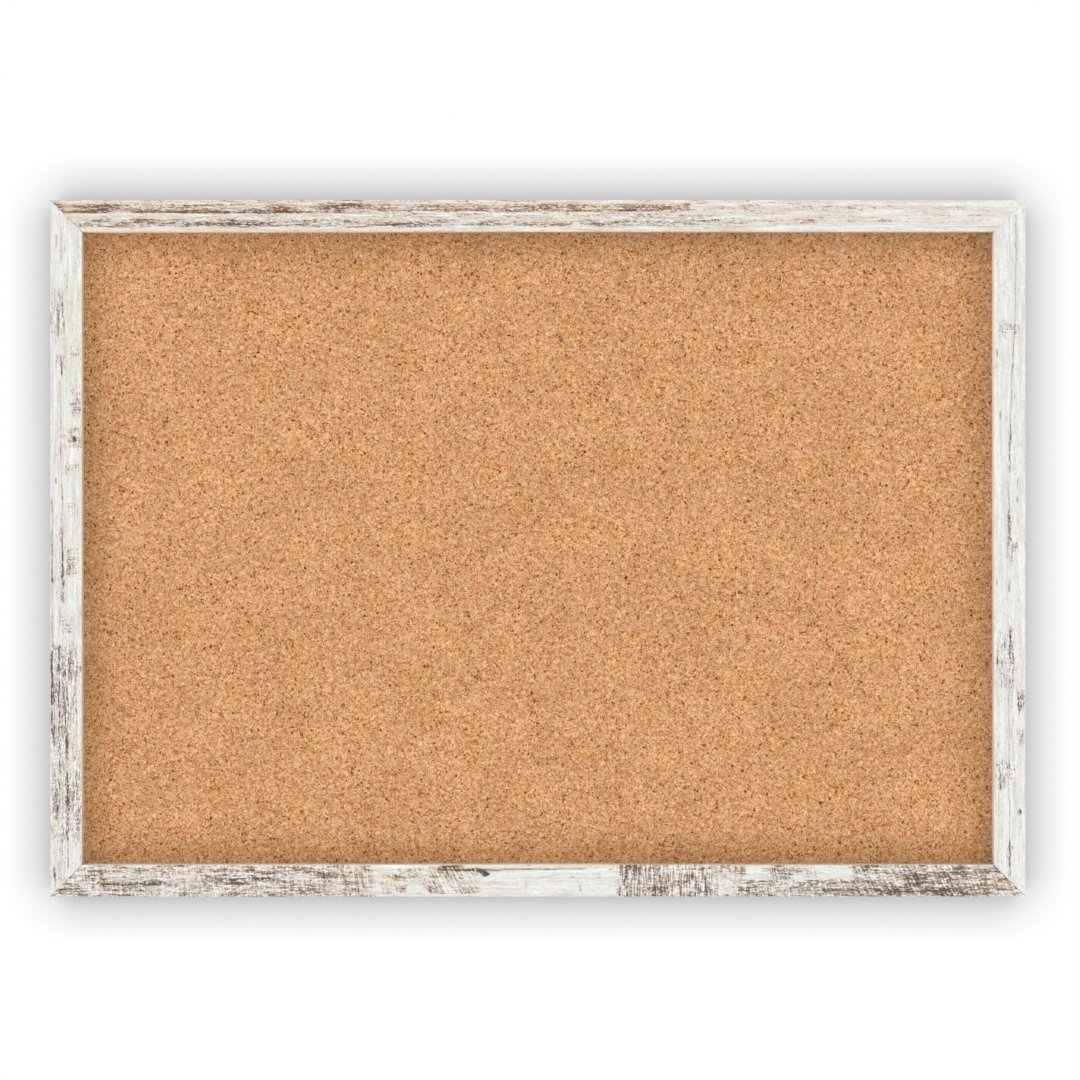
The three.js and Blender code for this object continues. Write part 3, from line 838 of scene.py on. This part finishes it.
def moulding_marks(marks, along, across, length):
    """Stain, share of saw marks, tone and cracks at places along and across, all in millimetres."""
    seed = marks["seed"]
    warped_along = along + 9 * (layered(along / 11, across / 3, seed + 1) - 0.5)
    warped_across = across + 2.4 * (layered(along / 16, across / 4, seed + 2) - 0.5)

    # Stained patches of the face, and stain on the outer side
    stain = np.interp(along, (0, length), marks["ground"])
    saw = np.full(along.shape, 0.12)
    tone = np.full(along.shape, marks["tone"])
    for start, end, near, far, strength, patch_tone, patch_saw in marks["patches"]:
        here = within(warped_along, start, end, 3, 4) * within(warped_across, near, far, 0.9, 0.9)
        stain = np.maximum(stain, here * strength)
        tone = tone + (patch_tone - tone) * here
        saw = saw + (patch_saw - saw) * here
    on_side = rise(-across, 0.3, 2.5) * rise(layered(along / 34, across / 8, seed + 14), 0.46, 0.68)
    stain = np.maximum(stain, on_side * marks["side"])
    stain = stain * (0.45 + 1.1 * layered(along / 17, across / 5, seed + 3))
    tone = tone + 0.8 * (layered(along / 24, across / 5, seed + 13) - 0.5)

    # Cracks: broken lines that wander, ragged spots, and the mitre lines
    crack = np.zeros(along.shape)
    for start, end, across_start, across_end, half_width, strength in marks["lines"]:
        share = np.clip((along - start) / (end - start), 0, 1)
        wander = 0.9 * (noise(along / 13, start, seed + 4) - 0.5)
        middle = across_start + (across_end - across_start) * share + wander
        broken = 0.45 + 0.8 * layered(along / 7, across_start, seed + 5)
        line = np.exp(-(((across - middle) / (LINE_SOFTNESS * half_width)) ** 2))
        crack = np.maximum(crack, line * within(along, start, end, 1, 3) * broken * strength)
    for middle_along, middle_across, half_length, half_width, strength in marks["spots"]:
        ragged = 0.55 * (layered(along / 2.2, across / 1.4, seed + 6) - 0.5)
        far = np.hypot((along - middle_along) / half_length, (across - middle_across) / half_width) + ragged
        spot = (1 - rise(far, 0.7, 1.1)) * strength
        crack = np.maximum(crack, spot)
        tone = np.maximum(tone, spot)
    for strength, from_mitre in zip(marks["joints"], (along - across, length - along - across)):
        broken = 0.5 + 0.7 * layered(across / 5, strength, seed + 12)
        crack = np.maximum(crack, np.exp(-((from_mitre / MITRE_SOFTNESS) ** 2)) * broken * strength)
    return stain, saw, np.clip(tone, 0, 1), np.clip(crack, 0, 1.6)


def moulding(name, marks, material):
    """A mitred moulding with cracks, paint worn off and dented edges in its mesh."""
    turn, seed = marks["turn"], marks["seed"]
    half, reach = (HALF_HEIGHT, HALF_WIDTH) if turn % 2 else (HALF_WIDTH, HALF_HEIGHT)
    length = 2 * half / MM
    inward, up, unrolled, paint = moulding_section().T
    stations = round(2 * half / STATION_PITCH)
    x = np.linspace(-1, 1, stations + 1)[:, None] * (half - inward - MITRE_LINE)
    along = (half + x if turn < 2 else half - x) / MM
    across = np.broadcast_to(unrolled / MM, along.shape)
    from_sight = across - FACE / MM
    stain, saw, tone, crack = moulding_marks(marks, along, across, length)

    # The face sinks at cracks, worn paint and slow dips, and both front edges are dented
    dip = DIP_DEPTH * layered(along / 70, across / 9, seed + 7)
    worn = PAINT_DEPTH * rise(stain, 0.25, 0.7) * layered(along / 6, across / 1.1, seed + 8)
    sunk = (up > DEPTH - 0.01 * MM) * (CRACK_DEPTH * crack + worn + dip)
    edge_wear = rise(layered(along / 9, 3.5, seed + 9), 0.56, 0.82)
    outer_edge = np.exp(-(((across - 0.9) / 1.3) ** 2)) * (inward < 3 * MM) * (up > DEPTH - 4 * MM)
    sight_edge = np.exp(-((from_sight + 0.6) ** 2)) * (inward > FACE - 2 * MM) * (up > DEPTH - 3 * MM)
    dent = OUTER_DENT * edge_wear * outer_edge
    dent = dent + SIGHT_DENT * (1 - edge_wear) * sight_edge * noise(along / 6, 1.0, seed + 10)
    z = reach - inward - MM * dent * (outer_edge - sight_edge)
    y = BACK_Y - up + MM * (np.minimum(sunk, DEEPEST) + dent)
    world_x, world_z = ((x, z), (z, -x), (-x, -z), (-z, x))[turn]
    faces = tube_faces(stations + 1, len(inward))
    piece = new_object(name + "_wood", grid_points(world_x, y, world_z), faces)
    smooth(piece, 50)

    # Values for the material: each moulding has its own stretch of grain, and the back is bare
    shift = seed * 0.731
    leaning = along + across * np.interp(along, *zip(*marks["lean"]))
    set_attribute(piece, "grain", grid_points(leaning * MM + shift, across * MM + shift, shift))
    from_back = up / MM + 2.2 * (layered(along / 14, across / 5, seed + 11) - 0.5)
    values = {
        "stain": stain,
        "saw": saw,
        "tone": tone,
        "crack": crack,
        "bare": np.maximum(1 - paint, 1 - rise(from_back, 0.2, 1.6)),
        "warm": np.interp(along, (0, length), marks["warm"]),
        # lip: the sight edge wall, rubbed to wood and darkened as painted shade
        "lip": np.interp(along, *zip(*marks["sight"])) * rise(from_sight, -0.5, 0.6),
    }
    for key, value in values.items():
        set_attribute(piece, key, value.ravel())
    place(piece, "board", "painted_wood", material, name)


def slab(name, node, pitch, outward, relief):
    """A sheet in a CAD node's place. Its shown face, outward along Y, has a relief in millimetres."""
    low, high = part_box(node)
    columns = round((high.x - low.x) / pitch) + 1
    rows = round((high.z - low.z) / pitch) + 1
    x, z = np.meshgrid(np.linspace(low.x, high.x, columns), np.linspace(low.z, high.z, rows))
    shown, hidden = (low.y, high.y) if outward < 0 else (high.y, low.y)
    front = grid_points(x, shown + outward * MM * relief(x / MM, z / MM), z)
    index = np.arange(rows * columns).reshape(rows, columns)
    border = np.concatenate([index[0, :-1], index[:-1, -1], index[-1, :0:-1], index[:0:-1, 0]])
    rear = front[border].copy()
    rear[:, 1] = hidden
    rear_index = rows * columns + np.arange(len(border))
    sides = np.stack([border, np.roll(border, -1), np.roll(rear_index, -1), rear_index], axis=1)
    faces = grid_faces(rows, columns, closed=False) + sides.tolist() + [rear_index.tolist()]
    piece = new_object(name, np.concatenate([front, rear]), faces)
    smooth(piece, 40)
    return piece


def cork_relief(x, z):
    """Granules that stand up and down a little, slow waves, and small pits, in millimetres."""
    granules = 0.13 * (noise(x / 2.6, z / 2.6, 41) - 0.5)
    waves = 0.10 * (layered(x / 45, z / 45, 43) - 0.5)
    pits = 0.30 * rise(noise(x / 4.4, z / 4.4, 47), 0.86, 0.97)
    return granules + waves - pits


def fibre_relief(x, z):
    """A soft board's slight waves and dents, in millimetres."""
    waves = 0.25 * (layered(x / 90, z / 90, 51) - 0.5)
    dents = 0.18 * rise(noise(x / 16, z / 16, 53), 0.80, 0.97)
    return waves - 0.12 - dents


def cork_sheet(material):
    """The cork, with how near each point is to the frame's sight edge, which sets the painted shade along the
    frame.
    """
    piece = slab("cork_face", "cork_sheet", CORK_PITCH, -1, cork_relief)
    x, _, z = np.array([vertex.co for vertex in piece.data.vertices]).T
    from_sight = np.minimum(HALF_WIDTH - FACE - np.abs(x), HALF_HEIGHT - FACE - np.abs(z))
    set_attribute(piece, "edge", np.exp(-np.maximum(from_sight, 0) / EDGE_SHADE))
    place(piece, "board", "cork", material, "cork_sheet")


def refined(node, name, slot, material, bevel, lift=0.0):
    """A copy of a CAD node with its edges eased and its rounds shaded smooth, moved back by the lift."""
    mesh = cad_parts[node].data.copy()
    made = bmesh.new()
    made.from_mesh(mesh)
    bmesh.ops.remove_doubles(made, verts=made.verts, dist=SAME_POINT)
    bmesh.ops.dissolve_limit(made, angle_limit=FLAT_ANGLE, verts=made.verts, edges=made.edges)
    bmesh.ops.recalc_face_normals(made, faces=made.faces)
    inner = [edge for edge in made.edges if len(edge.link_faces) == 2]
    sharp = [edge for edge in inner if edge.calc_face_angle() > SHARP_ANGLE]
    bmesh.ops.bevel(
        made, geom=sharp, offset=bevel, segments=2, profile=0.6, affect="EDGES", clamp_overlap=True
    )
    bmesh.ops.translate(made, verts=made.verts, vec=(0, lift, 0))
    made.to_mesh(mesh)
    made.free()
    if "custom_normal" in mesh.attributes:
        mesh.attributes.remove(mesh.attributes["custom_normal"])
    piece = bpy.data.objects.new(name, mesh)
    scene.collection.objects.link(piece)
    smooth(piece, 32)
    place(piece, "board", slot, material, node)


def wire_ring(node, name, body, material):
    """The ring's round wire swept along its D, open at the butt gap in its bar."""
    low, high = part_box(node)
    line = [(RING_BUTT_GAP / 2, 0), (RING_BAR_HALF / 2, 0)]

    def arc(middle_x, middle_z, radius, start, end, count):
        for angle in np.linspace(start, end, count):
            line.append((middle_x + radius * math.cos(angle), middle_z + radius * math.sin(angle)))

    arc(RING_BAR_HALF, RING_CORNER, RING_CORNER, -math.pi / 2, 0, RING_CORNER_POINTS)
    arc(0, RING_CORNER + RING_SIDE, RING_BAR_HALF + RING_CORNER, 0, math.pi, RING_ROUND_POINTS)
    arc(-RING_BAR_HALF, RING_CORNER, RING_CORNER, math.pi, 1.5 * math.pi, RING_CORNER_POINTS)
    line += [(-RING_BAR_HALF / 2, 0), (-RING_BUTT_GAP / 2, 0)]
    ahead = np.gradient(line, axis=0)
    ahead /= np.linalg.norm(ahead, axis=1)[:, None]
    line_x, line_z = np.array(line).T[:, :, None]
    ahead_x, ahead_z = ahead.T[:, :, None]

    angles = np.arange(WIRE_SIDES) * 2 * math.pi / WIRE_SIDES
    out = RING_WIRE / 2 * np.cos(angles)
    x = (low.x + high.x) / 2 + line_x + ahead_z * out
    y = (low.y + high.y) / 2 + RING_WIRE / 2 * np.sin(angles)
    z = low.z + RING_WIRE / 2 + line_z - ahead_x * out
    piece = new_object(name, grid_points(x, y, z), tube_faces(len(line), WIRE_SIDES))
    smooth(piece, 50)
    place(piece, body, "zinc_steel", material, node)


def bumper(node, name, material):
    """A turned dome with a thin sticky pad under its rim."""
    low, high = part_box(node)
    rim, height = (high.x - low.x) / 2, high.y - low.y
    pad, shoulder, flat = 0.5 * MM, 1.4 * MM, 2.2 * MM
    pad_rim = rim * 0.93
    profile = [(pad_rim, 0), (pad_rim, pad), (rim * 0.985, pad), (rim, pad + 0.2 * MM), (rim, shoulder)]
    for angle in np.linspace(0, math.pi / 2, 13)[1:]:
        radius = flat + (rim - flat) * math.cos(angle)
        profile.append((radius, shoulder + (height - shoulder) * math.sin(angle)))
    profile.append((flat / 2, height - 0.05 * MM))
    radius, level = np.array(profile).T[:, :, None]
    angles = np.arange(BUMPER_SIDES) * 2 * math.pi / BUMPER_SIDES
    x = (low.x + high.x) / 2 + radius * np.cos(angles)
    z = (low.z + high.z) / 2 + radius * np.sin(angles)
    piece = new_object(name, grid_points(x, low.y + level, z), tube_faces(len(profile), BUMPER_SIDES))
    smooth(piece, 40)
    place(piece, "board", "soft_rubber", material, node)


# The board

wood = whitewashed_wood()
zinc = plated_steel("zinc_plate", srgb(218, 218, 215), srgb(160, 163, 166), srgb(128, 130, 130), 0.22, 0.50)
steel = plated_steel("bare_steel", srgb(178, 176, 174), srgb(126, 125, 125), srgb(110, 98, 88), 0.30, 0.60)
rubber = milky_rubber()

for side, side_marks in MARKS.items():
    moulding(side, side_marks, wood)
cork_sheet(natural_cork())
backing = slab("backing_sheet", "backing_board", BACKING_PITCH, 1, fibre_relief)
place(backing, "board", "fibreboard", pressed_fibreboard(), "backing_board")

for node in sorted(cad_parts):
    if node.startswith("corner_nail"):
        refined(node, node + "_v", "dark_steel", steel, DRIVEN_EDGE, lift=NAIL_STANDS_PROUD)
    elif node.startswith("framers_point"):
        refined(node, node + "_dart", "dark_steel", steel, DRIVEN_EDGE)
    elif node.startswith("hanger_strap"):
        refined(node, node + "_fold", "zinc_steel", zinc, HANGER_EDGE)
    elif node.startswith("hanger_screw"):
        refined(node, node + "_head", "zinc_steel", zinc, HANGER_EDGE)
    elif node.startswith("hanger_ring"):
        wire_ring(node, node + "_wire", node.rsplit("_", 1)[1] + "_ring", zinc)
    elif node.startswith("bumper"):
        bumper(node, node + "_dome", rubber)


# Stage: a white wall behind the board, and a pale floor

FLOOR_Z = -0.42
STAGE = 30.0
WALL_Y = 0.6 * MM
SHADE_REACH = 38 * MM
SHADE_POWER = 1.05
DARKEST_SHADE = 0.25


def plane(name, corners, material):
    """A flat piece of the stage."""
    mesh = bpy.data.meshes.new(name)
    mesh.from_pydata(corners, [], [(0, 1, 2, 3)])
    mesh.materials.append(material)
    made = bpy.data.objects.new(name, mesh)
    scene.collection.objects.link(made)
    return made


def white_wall():
    """White that shows the contact shade of what stands near it, and is clear from behind."""
    made, shader = new_material("white_wall")
    shade = shader.add("AmbientOcclusion", {"Distance": SHADE_REACH}, samples=16).outputs["AO"]
    level = shader.math("MAXIMUM", shader.math("POWER", shade, SHADE_POWER), DARKEST_SHADE)
    glow = shader.add("Emission", {"Color": (1, 1, 1, 1), "Strength": level}).outputs[0]
    clear = shader.add("BsdfTransparent").outputs[0]
    from_behind = shader.add("NewGeometry").outputs["Backfacing"]
    either = shader.add("MixShader", {0: from_behind, 1: glow, 2: clear}).outputs[0]
    shader.add("OutputMaterial", {0: either})
    return made


def pale_floor():
    """Off-white with a faint, slow mottle."""
    made, shader = new_material("pale_floor")
    mottle = shader.noise(shader.object_place(), (3, 3, 3))
    tint = shader.mix(mottle, srgb(238, 238, 237), srgb(244, 244, 243))
    shader.surface(Base_Color=tint, Roughness=0.9, Specular_IOR_Level=0.1)
    return made


wall = plane(
    "wall",
    [(x, WALL_Y, z) for x, z in ((-STAGE, FLOOR_Z), (STAGE, FLOOR_Z), (STAGE, STAGE), (-STAGE, STAGE))],
    white_wall(),
)
for ray in ("diffuse", "glossy", "transmission", "volume_scatter", "shadow"):
    setattr(wall, "visible_" + ray, False)

floor = plane(
    "floor",
    [(x, y, FLOOR_Z) for x, y in ((-STAGE, -STAGE), (STAGE, -STAGE), (STAGE, STAGE), (-STAGE, STAGE))],
    pale_floor(),
)
floor.visible_diffuse = False
floor.visible_shadow = False

# Light: a soft dome. In front it is strongest in a band well off the board's axis, which shades the recess;
# behind, it is strongest near the axis. It is white where it is seen.
DOME_LEVEL = 0.19
FRONT_BAND = 3.1
FRONT_MIDDLE = 0.37
FRONT_WIDTH = 0.2
BACK_LOBE = 1.6
BACK_WIDTH = 0.35


def soft_dome():
    """The world, lit by how far a direction points along Y: -1 straight in front, 1 straight behind."""
    made = bpy.data.worlds.new("soft_dome")
    shader = Shader(made)
    direction = shader.add("TexCoord").outputs["Generated"]
    towards = shader.add("SeparateXYZ", {0: direction}).outputs[1]

    def bell(middle, width):
        off = shader.math("DIVIDE", shader.math("SUBTRACT", towards, middle), width)
        return shader.math("EXPONENT", shader.scaled(shader.both(off, off), -1.0))

    level = shader.scaled(bell(-FRONT_MIDDLE, FRONT_WIDTH), FRONT_BAND, DOME_LEVEL)
    level = shader.scaled(bell(1.0, BACK_WIDTH), BACK_LOBE, level)
    path = shader.add("LightPath").outputs
    seen = shader.math("MAXIMUM", path["Is Camera Ray"], path["Is Glossy Ray"])
    seen = shader.math("MAXIMUM", seen, path["Is Transmission Ray"])
    strength = shader.blend(seen, level, 1.0)
    background = shader.add("Background", {"Color": (1, 1, 1, 1), "Strength": strength}).outputs[0]
    shader.add("OutputWorld", {0: background})
    return made


scene.world = soft_dome()

# Camera: straight on, level with the photograph's middle
camera_data = bpy.data.cameras.new("camera")
camera_data.lens = LENS
camera_data.sensor_width = SENSOR
camera = bpy.data.objects.new("camera", camera_data)
scene.collection.objects.link(camera)
camera.location = (AIM_X, FRONT_Y - CAMERA_DISTANCE, AIM_Z)
camera.rotation_euler = (math.pi / 2, 0, 0)
scene.camera = camera
